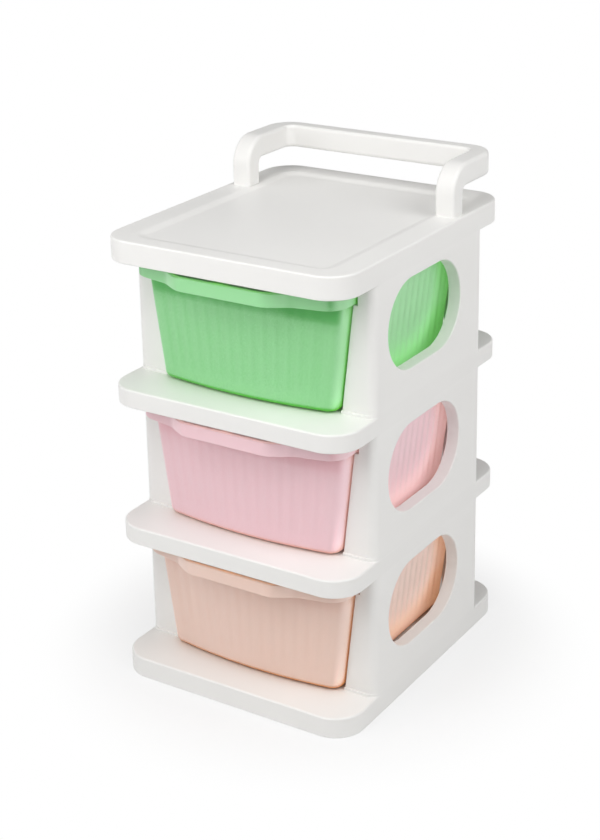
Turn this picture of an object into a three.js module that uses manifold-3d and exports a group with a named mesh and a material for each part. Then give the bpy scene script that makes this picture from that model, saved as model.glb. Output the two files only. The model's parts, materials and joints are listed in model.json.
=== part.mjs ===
// Plastic drawer cabinet: three open tiers between moulded plates, a drawer in each, a carry handle on top.
// Millimetres, +Z up, +X to the right seen from the front, -Y towards the front.
// The origin is on the floor, under the middle of the cabinet.
import * as THREE from 'three';
import { mergeVertices } from 'three/addons/utils/BufferGeometryUtils.js';
import Module from 'manifold-3d';

const wasm = await Module();
wasm.setup();

// Whole cabinet
const cabinetWidth = 200;
const cabinetDepth = 236;
const tierHeight = 94;
const jointGap = 0.3;
const overrun = 1;

// Plates: the base, the two shelves and the top
const plateCornerRadius = 23;
const plateEdgeRadius = 1.5;
const plateFootInset = 1;
const plateWall = 2.5;
const plateRib = 2;
const baseThickness = 16;
const shelfThickness = 13.8;
const topThickness = 17;
const pocketColumns = 5;

// Shallow tray in the top plate
const traySideLedge = 17.4;
const trayFrontLedge = 12;
const trayRearLedge = 15.5;
const traySlopeWidth = 6;
const trayDepth = 2.2;
const trayCornerRadius = 14;

// Plinth that each side panel stands on
const plinthHeight = 2;
const plinthStep = 1.2;

// Low rails under each drawer
const railHeight = 0.8;
const railWidth = 3;
const railSpacing = 100;
const railEndMargin = 8;

// Side panels
const panelFrontInset = 40.5;
const panelRearInset = 36.5;
const panelCornerRadius = 7;
const panelReturn = 10.4;
const panelSkin = 2.5;
const panelEndWall = 2.5;
const flangeThickness = 2.8;
const rearFlangeReach = 31;

// Window in each side panel
const windowSill = 20.6;
const windowHeadMargin = 6.9;
const windowFrontMargin = 19;
const windowRearMargin = 34.5;
const windowCollar = 2;

// Tabs that lock the side panels into the plates
const tabLength = 12;
const tabEndInset = 14;
const topTabHeight = 4;
const footTabHeight = 8;
const channelWidth = 9.5;

// Drawers
const drawerSideInset = 16.4;
const drawerSideTaper = 11.1;
const drawerHeadroom = 2.8;
const drawerFootInset = 34;
const drawerFrontLean = 2.5;
const drawerFrontBow = 5.5;
const drawerRearLean = 4;
const drawerWall = 2;
const drawerFloor = 2;
const drawerCornerRadius = 9;
const drawerFootRadius = 4;
const drawerSideClearance = 1.2;
const flutePitch = 8.6;
const fluteDepth = 0.5;

// Rim of a drawer, turned down along the front, with a finger lip in its middle
const rimOverhang = 1.9;
const rimThickness = 2;
const skirtHeight = 10.8;
const skirtWall = 2;
const rimFrontInset = 19.4;
const rimShoulderInset = 12.5;
const rimCornerRadius = 16;
const rimRearRadius = 10;
const rimEdgeRadius = 2;
const lipFrontInset = 2.8;
const lipHalfLength = 34.3;
const lipShoulder = 51;
const lipRadius = 14;
const rimNotchClearance = 1;

// Carry handle
const handleSideInset = 4.2;
const handleWidth = 15.7;
const handlePostDepth = 15.2;
const handleBarHeight = 17.6;
const handleBarDepth = 12;
const handleRise = 37;
const handlePostInset = 75.5;
const handleRearInset = 5.2;
const handleBendRadius = 13.5;
const handleCornerRadius = 13.5;
const handleEdgeRadius = 2.5;
const pegWidth = 8;
const pegLength = 7;

// Facets of round stretches
const cornerSteps = 5;
const drawerCornerSteps = 4;
const plateEdgeSteps = 2;
const edgeSteps = 3;
const footSteps = 2;
const lipSteps = 2;
const bendSteps = 5;
const bowSteps = 8;
const windowSteps = 7;

// Places worked out from the sizes above
const halfWidth = cabinetWidth / 2;
const halfDepth = cabinetDepth / 2;
const panelFront = -halfDepth + panelFrontInset;
const panelRear = halfDepth - panelRearInset;
const panelInner = halfWidth - panelReturn;
const panelTop = tierHeight - jointGap;
const panelFoot = plinthHeight + jointGap;
const flangeBack = panelFront + flangeThickness;
const rearFlangeFront = panelRear - flangeThickness;
const channelOuter = halfWidth - plateWall;
const channelInner = channelOuter - channelWidth;
const tabOuter = channelOuter - jointGap;
const tabInner = channelInner + jointGap;
const tabCentres = [panelFront + tabEndInset, panelRear - tabEndInset];
const windowLength = panelRear - panelFront - windowFrontMargin - windowRearMargin;
const windowHeight = tierHeight - windowSill - windowHeadMargin;
const drawerFoot = railHeight + jointGap;
const drawerHeight = tierHeight - drawerHeadroom - drawerFoot;
const drawerTopHalfWidth = halfWidth - drawerSideInset;
const drawerFootHalfWidth = drawerTopHalfWidth - drawerSideTaper;
const drawerFrontFoot = halfDepth - drawerFootInset;
const rimTop = drawerFoot + drawerHeight;
const skirtFoot = rimTop - skirtHeight;
const rimHalfWidth = drawerTopHalfWidth + rimOverhang;
const rimFront = halfDepth - rimFrontInset;
const rimShoulderFront = halfDepth - rimShoulderInset;
const lipFront = halfDepth - lipFrontInset;
const rimRear = rearFlangeFront - jointGap;
const drawerRear = rimRear - rimOverhang;
const handleOuter = halfWidth - handleSideInset;
const handlePostFront = halfDepth - handlePostInset;
const tierFloors = [baseThickness];
tierFloors.push(tierFloors[0] + tierHeight + shelfThickness);
tierFloors.push(tierFloors[1] + tierHeight + shelfThickness);
const topUnderside = tierFloors[2] + tierHeight;
const topFace = topUnderside + topThickness;

// Moulded plastics
const plastic = (color, roughness) => new THREE.MeshStandardMaterial({ color, roughness, metalness: 0 });
const whitePlastic = () => plastic(0xf3f2ee, 0.42);
const greenPlastic = () => plastic(0x94d29a, 0.4);
const pinkPlastic = () => plastic(0xe8bfca, 0.4);
const peachPlastic = () => plastic(0xe3bea9, 0.4);

// Closed solid of a geometry, with its faces turned outwards
function solid(geometry) {
  const bare = new THREE.BufferGeometry();
  bare.setAttribute('position', geometry.getAttribute('position').clone());
  bare.setIndex(geometry.index);
  const merged = mergeVertices(bare);
  const vertProperties = new Float32Array(merged.getAttribute('position').array);
  const triVerts = new Uint32Array(merged.index.array);
  if (signedVolume(vertProperties, triVerts) < 0) {
    flip(triVerts);
  }
  return new wasm.Manifold(new wasm.Mesh({ numProp: 3, vertProperties, triVerts }));
}

function signedVolume(positions, indices) {
  const corner = (k) => new THREE.Vector3().fromArray(positions, 3 * indices[k]);
  let total = 0;
  for (let k = 0; k < indices.length; k += 3) {
    total += corner(k).dot(corner(k + 1).cross(corner(k + 2)));
  }
  return total;
}

function flip(indices) {
  for (let k = 0; k < indices.length; k += 3) {
    [indices[k + 1], indices[k + 2]] = [indices[k + 2], indices[k + 1]];
  }
}

// Geometry of a finished solid
function geometryOf(body) {
  const mesh = body.asOriginal().getMesh();
  const geometry = new THREE.BufferGeometry();
  geometry.setAttribute('position', new THREE.BufferAttribute(new Float32Array(mesh.vertProperties), 3));
  geometry.setIndex(new THREE.BufferAttribute(new Uint32Array(mesh.triVerts), 1));
  geometry.computeVertexNormals();
  return geometry;
}

// The same geometry on the other side of the cabinet
function mirrored(geometry) {
  const copy = geometry.clone();
  copy.scale(-1, 1, 1);
  flip(copy.index.array);
  copy.computeVertexNormals();
  return copy;
}

// Box between two corners
function box(low, high) {
  const size = high.map((value, axis) => value - low[axis]);
  const geometry = new THREE.BoxGeometry(...size);
  geometry.translate(...low.map((value, axis) => value + size[axis] / 2));
  return solid(geometry);
}

// Box on both sides of the cabinet's middle
function boxPair(low, high) {
  const left = box([-high[0], low[1], low[2]], [-low[0], high[1], high[2]]);
  return box(low, high).add(left);
}

// Corner of an outline, with the radius that rounds it
const corner = (x, y, radius, steps = cornerSteps) => ({ point: new THREE.Vector2(x, y), radius, steps });

// Points of an outline whose corners are rounded with arcs; a corner of no radius stays sharp
function roundedOutline(corners) {
  const points = [];
  corners.forEach(({ point, radius, steps }, k) => {
    if (radius === 0) {
      points.push(point.clone());
      return;
    }
    const before = corners[(k + corners.length - 1) % corners.length].point.clone().sub(point);
    const after = corners[(k + 1) % corners.length].point.clone().sub(point);
    const room = Math.min(before.length(), after.length()) / 2;
    before.normalize();
    after.normalize();
    const half = Math.acos(THREE.MathUtils.clamp(before.dot(after), -1, 1)) / 2;
    const reach = Math.min(radius / Math.tan(half), room);
    const arc = reach * Math.tan(half);
    const centre = before.clone().add(after).normalize().multiplyScalar(arc / Math.sin(half)).add(point);
    const start = before.multiplyScalar(reach).add(point).sub(centre);
    const end = after.multiplyScalar(reach).add(point).sub(centre);
    const turn = Math.atan2(start.cross(end), start.dot(end));
    for (let step = 0; step <= steps; step += 1) {
      const angle = (turn * step) / steps;
      points.push(start.clone().rotateAround(new THREE.Vector2(), angle).add(centre));
    }
  });
  return points;
}

// Corners moved inwards by a distance, for an outline that runs anticlockwise
function insetCorners(corners, distance) {
  return corners.map(({ point, radius, steps }, k) => {
    const before = corners[(k + corners.length - 1) % corners.length].point;
    const after = corners[(k + 1) % corners.length].point;
    const into = point.clone().sub(before).normalize();
    const out = after.clone().sub(point).normalize();
    const normal = new THREE.Vector2(-into.y - out.y, into.x + out.x).normalize();
    const stretch = distance / Math.max(normal.dot(new THREE.Vector2(-into.y, into.x)), Number.EPSILON);
    const bends = into.cross(out) > 0 ? -1 : 1;
    const shifted = normal.multiplyScalar(stretch).add(point);
    return corner(shifted.x, shifted.y, radius === 0 ? 0 : Math.max(radius + bends * distance, 0), steps);
  });
}

// Rectangle with rounded corners
function rectangleCorners(left, front, right, rear, radius, steps) {
  return [
    corner(right, rear, radius, steps),
    corner(left, rear, radius, steps),
    corner(left, front, radius, steps),
    corner(right, front, radius, steps),
  ];
}

// Triangles between neighbouring rings of points
function sideTriangles(rings, count) {
  const indices = [];
  for (let ring = 0; ring + 1 < rings; ring += 1) {
    for (let k = 0; k < count; k += 1) {
      const a = ring * count + k;
      const b = ring * count + ((k + 1) % count);
      indices.push(a, b, b + count, a, b + count, a + count);
    }
  }
  return indices;
}

function closedSolid(positions, indices) {
  const geometry = new THREE.BufferGeometry();
  geometry.setAttribute('position', new THREE.Float32BufferAttribute(positions, 3));
  geometry.setIndex(indices);
  return solid(geometry);
}

// Solid through a stack of outlines that have equal numbers of points
function loft(levels) {
  const count = levels[0].outline.length;
  const positions = [];
  levels.forEach(({ outline, z }) => outline.forEach(({ x, y }) => positions.push(x, y, z)));
  const indices = sideTriangles(levels.length, count);
  const last = (levels.length - 1) * count;
  THREE.ShapeUtils.triangulateShape(levels[0].outline, []).forEach(([a, b, c]) => {
    indices.push(a, c, b);
  });
  THREE.ShapeUtils.triangulateShape(levels[levels.length - 1].outline, []).forEach(([a, b, c]) => {
    indices.push(last + a, last + b, last + c);
  });
  return closedSolid(positions, indices);
}

// Upright solid of an outline
const prism = (outline, low, high) => loft([{ outline, z: low }, { outline, z: high }]);

// Solid of an outline drawn in a plane across X, from one x to another
function prismAlongX(outline, left, right) {
  const settings = { depth: right - left, bevelEnabled: false };
  const geometry = new THREE.ExtrudeGeometry(new THREE.Shape(outline), settings);
  geometry.applyMatrix4(new THREE.Matrix4().makeBasis(
    new THREE.Vector3(0, 1, 0), new THREE.Vector3(0, 0, 1), new THREE.Vector3(1, 0, 0)));
  geometry.translate(left, 0, 0);
  return solid(geometry);
}

// Solid of an outline drawn in a plane across Y, from one y to another
function prismAlongY(outline, front, rear) {
  const settings = { depth: rear - front, bevelEnabled: false };
  const geometry = new THREE.ExtrudeGeometry(new THREE.Shape(outline), settings);
  geometry.applyMatrix4(new THREE.Matrix4().makeBasis(
    new THREE.Vector3(1, 0, 0), new THREE.Vector3(0, 0, 1), new THREE.Vector3(0, -1, 0)));
  geometry.translate(0, rear, 0);
  return solid(geometry);
}

// Outline levels of an upright solid whose foot edge is cut off and whose top edge is rounded
function edgeLevels(corners, low, high, footInset, topRadius, steps) {
  const levels = [{ outline: roundedOutline(insetCorners(corners, footInset)), z: low }];
  if (footInset > 0) {
    levels.push({ outline: roundedOutline(corners), z: low + footInset });
  }
  for (let step = 0; step <= steps; step += 1) {
    const angle = (Math.PI / 2) * (step / steps);
    const inset = topRadius * (1 - Math.cos(angle));
    const z = high - topRadius * (1 - Math.sin(angle));
    levels.push({ outline: roundedOutline(insetCorners(corners, inset)), z });
  }
  return levels;
}

const plateCorners = () => rectangleCorners(-halfWidth, -halfDepth, halfWidth, halfDepth, plateCornerRadius);

// Footprint of a side panel on a plate, grown by a step but never past the cabinet's side
function footprint(step, low, high) {
  const outline = roundedOutline(rectangleCorners(
    channelInner - step, panelFront - step, halfWidth + step, panelRear + step, 0,
  ).map(({ point }) => corner(point.x, point.y, point.x > channelOuter ? panelCornerRadius + step : 0)));
  const limit = box([0, -halfDepth, low], [halfWidth, halfDepth, high]);
  return prism(outline, low, high).intersect(limit);
}

// Solid on the right with its mirror image on the left
function bothSides(body) {
  return body.add(solid(mirrored(geometryOf(body))));
}

// Half width of the way that a drawer slides through, at a height over its tier's floor
function passageHalfWidth(height) {
  const slope = (drawerTopHalfWidth - drawerFootHalfWidth) / drawerHeight;
  return drawerFootHalfWidth + slope * (height - drawerFoot) + drawerSideClearance;
}

// Pockets that hollow a plate from below and leave its ribs
function pockets(ceiling) {
  const firstTab = tabCentres[0];
  const lastTab = tabCentres[1];
  const reach = tabLength / 2 + jointGap;
  const rows = [
    [-halfDepth, firstTab - reach - plateRib],
    [firstTab - reach, firstTab + reach],
    [firstTab + reach + plateRib, -plateRib / 2],
    [plateRib / 2, lastTab - reach - plateRib],
    [lastTab - reach, lastTab + reach],
    [lastTab + reach + plateRib, halfDepth],
  ];
  const span = channelInner - plateRib;
  const pitch = (2 * span + plateRib) / pocketColumns;
  const columns = [[-halfWidth, -channelInner], [channelInner, halfWidth]];
  for (let k = 0; k < pocketColumns; k += 1) {
    columns.push([-span + k * pitch, -span + (k + 1) * pitch - plateRib]);
  }
  const cells = [];
  rows.forEach(([front, rear]) => columns.forEach(([left, right]) => {
    cells.push(box([left, front, -overrun], [right, rear, ceiling]));
  }));
  const inside = prism(roundedOutline(insetCorners(plateCorners(), plateWall)), -overrun, ceiling);
  return cells.reduce((all, cell) => all.add(cell)).intersect(inside);
}

// Plinths, slots and rails of a plate that carries a tier; the plate's top face is at the given height
function addTierSeat(plate, face, ceiling) {
  const top = face + plinthHeight;
  const flangeStrip = box(
    [passageHalfWidth(drawerFoot), panelFront - plinthStep, face - plateWall],
    [halfWidth - panelCornerRadius, flangeBack + plinthStep, top]);
  const rearStrip = box(
    [halfWidth - rearFlangeReach, rearFlangeFront - plinthStep + rimOverhang, face - plateWall],
    [halfWidth - panelCornerRadius, panelRear + plinthStep, top]);
  const plinth = footprint(plinthStep, face - plateWall, top).add(flangeStrip).add(rearStrip);
  let seated = plate.add(bothSides(plinth));
  tabCentres.forEach((centre) => {
    seated = seated.subtract(boxPair(
      [tabInner - jointGap, centre - tabLength / 2 - jointGap, ceiling - overrun],
      [tabOuter + jointGap, centre + tabLength / 2 + jointGap, top + overrun]));
  });
  const rails = boxPair(
    [(railSpacing - railWidth) / 2, panelFront + railEndMargin, face - plateWall],
    [(railSpacing + railWidth) / 2, panelRear - railEndMargin, face + railHeight]);
  return seated.add(rails);
}

// Plate with rounded edges, square only where side panels meet it
function plateSlab(thickness, fillLow, fillHigh) {
  const levels = edgeLevels(plateCorners(), 0, thickness, plateFootInset, plateEdgeRadius, plateEdgeSteps);
  const slab = loft(levels);
  return slab.add(bothSides(footprint(0, fillLow, fillHigh)));
}

function makeBase() {
  const ceiling = baseThickness - plateWall;
  const slab = plateSlab(baseThickness, baseThickness / 2, baseThickness).subtract(pockets(ceiling));
  return addTierSeat(slab, baseThickness, ceiling);
}

function makeShelf() {
  const ceiling = shelfThickness - plateWall;
  const slab = plateSlab(shelfThickness, 0, shelfThickness).subtract(pockets(ceiling));
  return addTierSeat(slab, shelfThickness, ceiling);
}

// Shallow tray with sloping sides, sunk into the top plate
function tray() {
  const side = halfWidth - traySideLedge;
  const front = -halfDepth + trayFrontLedge;
  const rear = halfDepth - trayRearLedge;
  const edge = rectangleCorners(-side, front, side, rear, trayCornerRadius);
  const wide = roundedOutline(edge);
  const narrow = roundedOutline(insetCorners(edge, traySlopeWidth));
  return loft([
    { outline: narrow, z: topThickness - trayDepth },
    { outline: wide, z: topThickness },
    { outline: wide, z: topThickness + overrun },
  ]);
}

const pegCentreX = handleOuter - handleWidth / 2;
const pegCentreY = handlePostFront + handlePostDepth / 2;

// Square peg under a handle post, or the slot for it when grown by a gap
function peg(gap, low, high) {
  const reach = pegWidth / 2 + gap;
  return boxPair(
    [pegCentreX - reach, pegCentreY - reach, low],
    [pegCentreX + reach, pegCentreY + reach, high]);
}

function makeTop() {
  const ceiling = topThickness - trayDepth - plateWall;
  return plateSlab(topThickness, 0, topThickness / 2)
    .subtract(tray())
    .subtract(pockets(ceiling))
    .subtract(peg(jointGap, topThickness - pegLength - jointGap, topThickness + overrun));
}

// Outline of a panel's window, grown by a collar
function windowOutline(grow) {
  const front = panelFront + windowFrontMargin - grow;
  const rear = panelFront + windowFrontMargin + windowLength + grow;
  const radius = windowHeight / 2 + grow;
  return roundedOutline(rectangleCorners(
    front, windowSill - grow, rear, windowSill + windowHeight + grow, radius, windowSteps));
}

// Front flange whose inner edge follows the drawer's taper, with a notch for the drawer's rim
function frontFlange() {
  const notchFloor = skirtFoot - rimNotchClearance;
  const notch = rimHalfWidth + drawerSideClearance;
  const edge = halfWidth - panelCornerRadius;
  const outline = [
    new THREE.Vector2(edge, panelFoot),
    new THREE.Vector2(edge, panelTop),
    new THREE.Vector2(notch, panelTop),
    new THREE.Vector2(notch, notchFloor),
    new THREE.Vector2(passageHalfWidth(notchFloor), notchFloor),
    new THREE.Vector2(passageHalfWidth(panelFoot), panelFoot),
  ];
  return prismAlongY(outline, panelFront, flangeBack);
}

// Right side panel of a tier, drawn with the tier's floor at height zero
function makePanel() {
  const shell = rectangleCorners(panelInner, panelFront, halfWidth, panelRear, 0)
    .map(({ point }) => corner(point.x, point.y, point.x > panelInner ? panelCornerRadius : 0));
  const hollow = rectangleCorners(
    panelInner - overrun, flangeBack, halfWidth - panelSkin, rearFlangeFront, 0,
  ).map(({ point }) => corner(point.x, point.y, point.x > panelInner ? panelCornerRadius - panelSkin : 0));
  const rearFlange = box(
    [halfWidth - rearFlangeReach, rearFlangeFront, panelFoot],
    [halfWidth - panelCornerRadius, panelRear, panelTop]);
  let panel = prism(roundedOutline(shell), panelFoot, panelTop)
    .subtract(prism(roundedOutline(hollow), panelFoot + panelEndWall, panelTop - panelEndWall))
    .add(frontFlange())
    .add(rearFlange)
    .add(prismAlongX(windowOutline(windowCollar), panelInner, halfWidth - panelSkin))
    .subtract(prismAlongX(windowOutline(0), panelInner - overrun, halfWidth + overrun));
  tabCentres.forEach((centre) => {
    const front = centre - tabLength / 2;
    const rear = centre + tabLength / 2;
    const tabTop = panelTop + jointGap + topTabHeight;
    panel = panel
      .add(box([tabInner, front, panelTop - panelEndWall], [tabOuter, rear, tabTop]))
      .add(box([tabInner, front, panelFoot - footTabHeight], [tabOuter, rear, panelFoot + panelEndWall]));
  });
  return panel;
}

// Sharp points of a fluted stretch between two ends, bowed outwards to its right by a height at its middle
function flutedStretch(start, end, bow, depth, pieces) {
  const along = end.clone().sub(start);
  const outwards = new THREE.Vector2(along.y, -along.x).normalize();
  const points = [];
  for (let k = 0; k <= pieces; k += 1) {
    const across = (2 * k) / pieces - 1;
    const out = bow * (1 - across * across) - (k % 2) * depth;
    const point = start.clone().addScaledVector(along, k / pieces).addScaledVector(outwards, out);
    points.push(corner(point.x, point.y, 0));
  }
  return points;
}

// Plan of a drawer's tub at a share of its height, from its foot to its rim, with fluted or plain walls
function tubCorners(heightShare, fluted) {
  const half = THREE.MathUtils.lerp(drawerFootHalfWidth, drawerTopHalfWidth, heightShare);
  const front = -drawerFrontFoot - drawerFrontLean * heightShare;
  const rear = drawerRear - drawerRearLean * (1 - heightShare);
  const depth = fluted ? fluteDepth : 0;
  const frontFlutes = Math.round(2 * (drawerFootHalfWidth - drawerCornerRadius) / flutePitch);
  const sideFlutes = Math.round((drawerRear + drawerFrontFoot - 2 * drawerCornerRadius) / flutePitch);
  const frontPieces = fluted ? 2 * frontFlutes : bowSteps;
  const sidePieces = fluted ? 2 * sideFlutes : 1;
  const end = half - drawerCornerRadius;
  const near = front + drawerCornerRadius;
  const far = rear - drawerCornerRadius;
  const at = (x, y) => new THREE.Vector2(x, y);
  return [
    ...flutedStretch(at(half, near), at(half, far), 0, depth, sidePieces),
    corner(half, rear, drawerCornerRadius, drawerCornerSteps),
    corner(-half, rear, drawerCornerRadius, drawerCornerSteps),
    ...flutedStretch(at(-half, far), at(-half, near), 0, depth, sidePieces),
    corner(-half, front, drawerCornerRadius, drawerCornerSteps),
    ...flutedStretch(at(-end, front), at(end, front), drawerFrontBow, depth, frontPieces),
    corner(half, front, drawerCornerRadius, drawerCornerSteps),
  ];
}

// Tub of a drawer: its outer form, or with a wall inset its hollow
function tub(inset, low, high, footRadius, fluted) {
  const levels = [];
  const share = (z) => (z - drawerFoot) / drawerHeight;
  for (let step = 0; step <= footSteps; step += 1) {
    const angle = (Math.PI / 2) * (step / footSteps);
    const z = low + footRadius * (1 - Math.cos(angle));
    const corners = insetCorners(tubCorners(share(z), fluted), inset + footRadius * (1 - Math.sin(angle)));
    levels.push({ outline: roundedOutline(corners), z });
  }
  levels.push({ outline: roundedOutline(insetCorners(tubCorners(share(high), fluted), inset)), z: high });
  return loft(levels);
}

// Plan of a drawer's rim, whose front bows out into the finger lip
function rimCorners() {
  return [
    corner(rimHalfWidth, rimRear, rimRearRadius, drawerCornerSteps),
    corner(-rimHalfWidth, rimRear, rimRearRadius, drawerCornerSteps),
    corner(-rimHalfWidth, -rimFront, rimCornerRadius, drawerCornerSteps),
    corner(-lipShoulder, -rimShoulderFront, lipRadius, lipSteps),
    corner(-lipHalfLength, -lipFront, lipRadius, lipSteps),
    corner(lipHalfLength, -lipFront, lipRadius, lipSteps),
    corner(lipShoulder, -rimShoulderFront, lipRadius, lipSteps),
    corner(rimHalfWidth, -rimFront, rimCornerRadius, drawerCornerSteps),
  ];
}

// Rim of a drawer, solid beside the tub and a turned-down skirt along the front
function rim() {
  const bead = loft(edgeLevels(rimCorners(), skirtFoot, rimTop, 0, rimEdgeRadius, edgeSteps));
  const behindSkirt = prism(
    roundedOutline(insetCorners(rimCorners(), skirtWall)), skirtFoot - overrun, rimTop - rimThickness);
  const frontZone = box(
    [-halfWidth, -halfDepth, skirtFoot - overrun], [halfWidth, -drawerFrontFoot + drawerWall, rimTop]);
  return bead.subtract(behindSkirt.intersect(frontZone));
}

const drawerHollow = () => tub(
  drawerWall + fluteDepth, drawerFoot + drawerFloor, rimTop + overrun, drawerFootRadius - drawerWall, false);

// Drawer of a tier, drawn with the tier's floor at height zero
function makeDrawer() {
  return rim()
    .add(tub(0, drawerFoot, rimTop - rimEdgeRadius, drawerFootRadius, true))
    .subtract(drawerHollow());
}

// Line of the handle's right half; each station holds its section's two directions, stretched to size
function handlePath() {
  const inner = handleOuter - handleWidth / 2;
  const front = handlePostFront + handlePostDepth / 2;
  const rear = halfDepth - handleRearInset - handleBarDepth / 2;
  const crown = topFace + handleRise - handleBarHeight / 2;
  const growth = handleBarHeight / handlePostDepth;
  const slimming = handleBarDepth / handleWidth;
  const stations = [];
  const inwards = new THREE.Vector3(-1, 0, 0);
  const station = (x, y, z, across, over) => {
    stations.push({ centre: new THREE.Vector3(x, y, z), across, over });
  };
  station(inner, front, topFace + jointGap, inwards, new THREE.Vector3(0, -1, 0));
  for (let step = 0; step <= bendSteps; step += 1) {
    const share = step / bendSteps;
    const angle = (Math.PI / 2) * share;
    const over = new THREE.Vector3(0, -Math.cos(angle), Math.sin(angle));
    over.multiplyScalar(THREE.MathUtils.lerp(1, growth, share));
    const y = front + handleBendRadius * (1 - Math.cos(angle));
    station(inner, y, crown - handleBendRadius * (1 - Math.sin(angle)), inwards, over);
  }
  for (let step = 0; step <= bendSteps; step += 1) {
    const share = step / bendSteps;
    const angle = (Math.PI / 2) * share;
    const across = new THREE.Vector3(-Math.cos(angle), -Math.sin(angle), 0);
    across.multiplyScalar(THREE.MathUtils.lerp(1, slimming, share));
    const x = inner - handleCornerRadius * (1 - Math.cos(angle));
    const y = rear - handleCornerRadius * (1 - Math.sin(angle));
    station(x, y, crown, across, new THREE.Vector3(0, 0, growth));
  }
  return stations;
}

// Closed tube of one section along a row of stations
function sweep(stations, section) {
  const count = section.length;
  const positions = [];
  stations.forEach(({ centre, across, over }) => section.forEach(({ x, y }) => {
    const point = centre.clone().addScaledVector(across, x).addScaledVector(over, y);
    positions.push(point.x, point.y, point.z);
  }));
  const indices = sideTriangles(stations.length, count);
  const last = (stations.length - 1) * count;
  THREE.ShapeUtils.triangulateShape(section, []).forEach(([a, b, c]) => {
    indices.push(a, c, b);
    indices.push(last + a, last + b, last + c);
  });
  return closedSolid(positions, indices);
}

// Carry handle: two posts, two arms that run back, and a bar across the rear
function makeHandle() {
  const half = handlePath();
  const mirror = new THREE.Vector3(-1, 1, 1);
  const other = half.map(({ centre, across, over }) => ({
    centre: centre.clone().multiply(mirror),
    across: across.clone().multiply(mirror),
    over: over.clone(),
  }));
  const halfAcross = handleWidth / 2;
  const halfOver = handlePostDepth / 2;
  const section = roundedOutline(rectangleCorners(
    -halfAcross, -halfOver, halfAcross, halfOver, handleEdgeRadius, edgeSteps));
  return sweep([...half, ...other.reverse()], section)
    .add(peg(0, topFace - pegLength, topFace + handlePostDepth));
}

// One named mesh of the cabinet
function addPart(group, name, geometry, material, height) {
  const mesh = new THREE.Mesh(geometry, material);
  mesh.name = name;
  mesh.position.z = height;
  group.add(mesh);
}

const cabinet = new THREE.Group();
const shelfGeometry = geometryOf(makeShelf());
const rightPanel = geometryOf(makePanel());
const leftPanel = mirrored(rightPanel);
const drawerGeometry = geometryOf(makeDrawer());
addPart(cabinet, 'base', geometryOf(makeBase()), whitePlastic(), 0);
addPart(cabinet, 'lower_shelf', shelfGeometry, whitePlastic(), tierFloors[1] - shelfThickness);
addPart(cabinet, 'upper_shelf', shelfGeometry.clone(), whitePlastic(), tierFloors[2] - shelfThickness);
addPart(cabinet, 'top_plate', geometryOf(makeTop()), whitePlastic(), topUnderside);
addPart(cabinet, 'carry_handle', geometryOf(makeHandle()), whitePlastic(), 0);
const tierNames = ['bottom', 'middle', 'top'];
const drawerPlastics = [peachPlastic, pinkPlastic, greenPlastic];
tierNames.forEach((tier, k) => {
  addPart(cabinet, `${tier}_panel_right`, rightPanel.clone(), whitePlastic(), tierFloors[k]);
  addPart(cabinet, `${tier}_panel_left`, leftPanel.clone(), whitePlastic(), tierFloors[k]);
  addPart(cabinet, `${tier}_drawer`, drawerGeometry.clone(), drawerPlastics[k](), tierFloors[k]);
});

export default cabinet;
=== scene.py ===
import json
import logging
import math
from dataclasses import dataclass, field, replace
from enum import Enum
from typing import Callable, ClassVar, Iterable, Sequence

import bmesh
import bpy
from mathutils import Matrix, Vector

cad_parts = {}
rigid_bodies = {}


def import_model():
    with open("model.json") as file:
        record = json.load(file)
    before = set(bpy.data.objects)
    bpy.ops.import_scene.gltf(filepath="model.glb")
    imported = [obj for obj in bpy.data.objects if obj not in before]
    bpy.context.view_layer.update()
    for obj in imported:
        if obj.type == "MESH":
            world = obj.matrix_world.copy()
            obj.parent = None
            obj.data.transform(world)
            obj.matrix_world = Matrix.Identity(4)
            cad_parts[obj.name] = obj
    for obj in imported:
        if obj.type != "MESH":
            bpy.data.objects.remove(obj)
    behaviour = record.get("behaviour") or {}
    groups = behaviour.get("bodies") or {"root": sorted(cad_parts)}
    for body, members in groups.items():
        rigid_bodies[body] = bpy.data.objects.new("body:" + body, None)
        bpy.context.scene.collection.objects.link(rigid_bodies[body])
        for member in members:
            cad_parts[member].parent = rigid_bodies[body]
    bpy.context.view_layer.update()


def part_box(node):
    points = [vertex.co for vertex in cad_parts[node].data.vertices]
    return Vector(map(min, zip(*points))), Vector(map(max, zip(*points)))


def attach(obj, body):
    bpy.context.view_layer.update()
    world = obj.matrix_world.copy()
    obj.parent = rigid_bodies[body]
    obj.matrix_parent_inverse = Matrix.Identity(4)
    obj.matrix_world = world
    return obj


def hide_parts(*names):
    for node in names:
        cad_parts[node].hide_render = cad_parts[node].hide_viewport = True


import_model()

LOG = logging.getLogger("drawer_cabinet")
MM = 0.001
QUARTER = math.pi / 2
LEAST_RADIUS = MM / 20
LEAST_COSINE = 0.1
SHARP_ANGLE = math.radians(32)
NORMAL_WEIGHT = 60
CLEARANCE = 0.3 * MM
WHITE_LIGHT = (1, 1, 1, 1)

Object = bpy.types.Object
Node = bpy.types.Node
Socket = bpy.types.NodeSocket
Value = Socket | float | str | Sequence[float]
Inputs = dict[str | int, Value]
Ring = list[Vector]
Pair = tuple[float, float]
Triple = tuple[float, float, float]


class Side(Enum):
    """The two sides of the cabinet, seen from the front."""

    RIGHT = 1
    LEFT = -1


class Tier(Enum):
    """The three open tiers, from the floor up."""

    BOTTOM = "bottom"
    MIDDLE = "middle"
    TOP = "top"


class Level(Enum):
    """The plates that divide the tiers."""

    BASE = "base"
    LOWER = "lower_shelf"
    UPPER = "upper_shelf"
    TOP = "top_plate"


@dataclass(frozen=True)
class Corner:
    """A corner of a flat outline and the radius that rounds it."""

    x: float
    y: float
    radius: float = 0.0
    steps: int = 10

    @property
    def point(self) -> Vector:
        """The corner's place."""
        return Vector((self.x, self.y))


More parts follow.
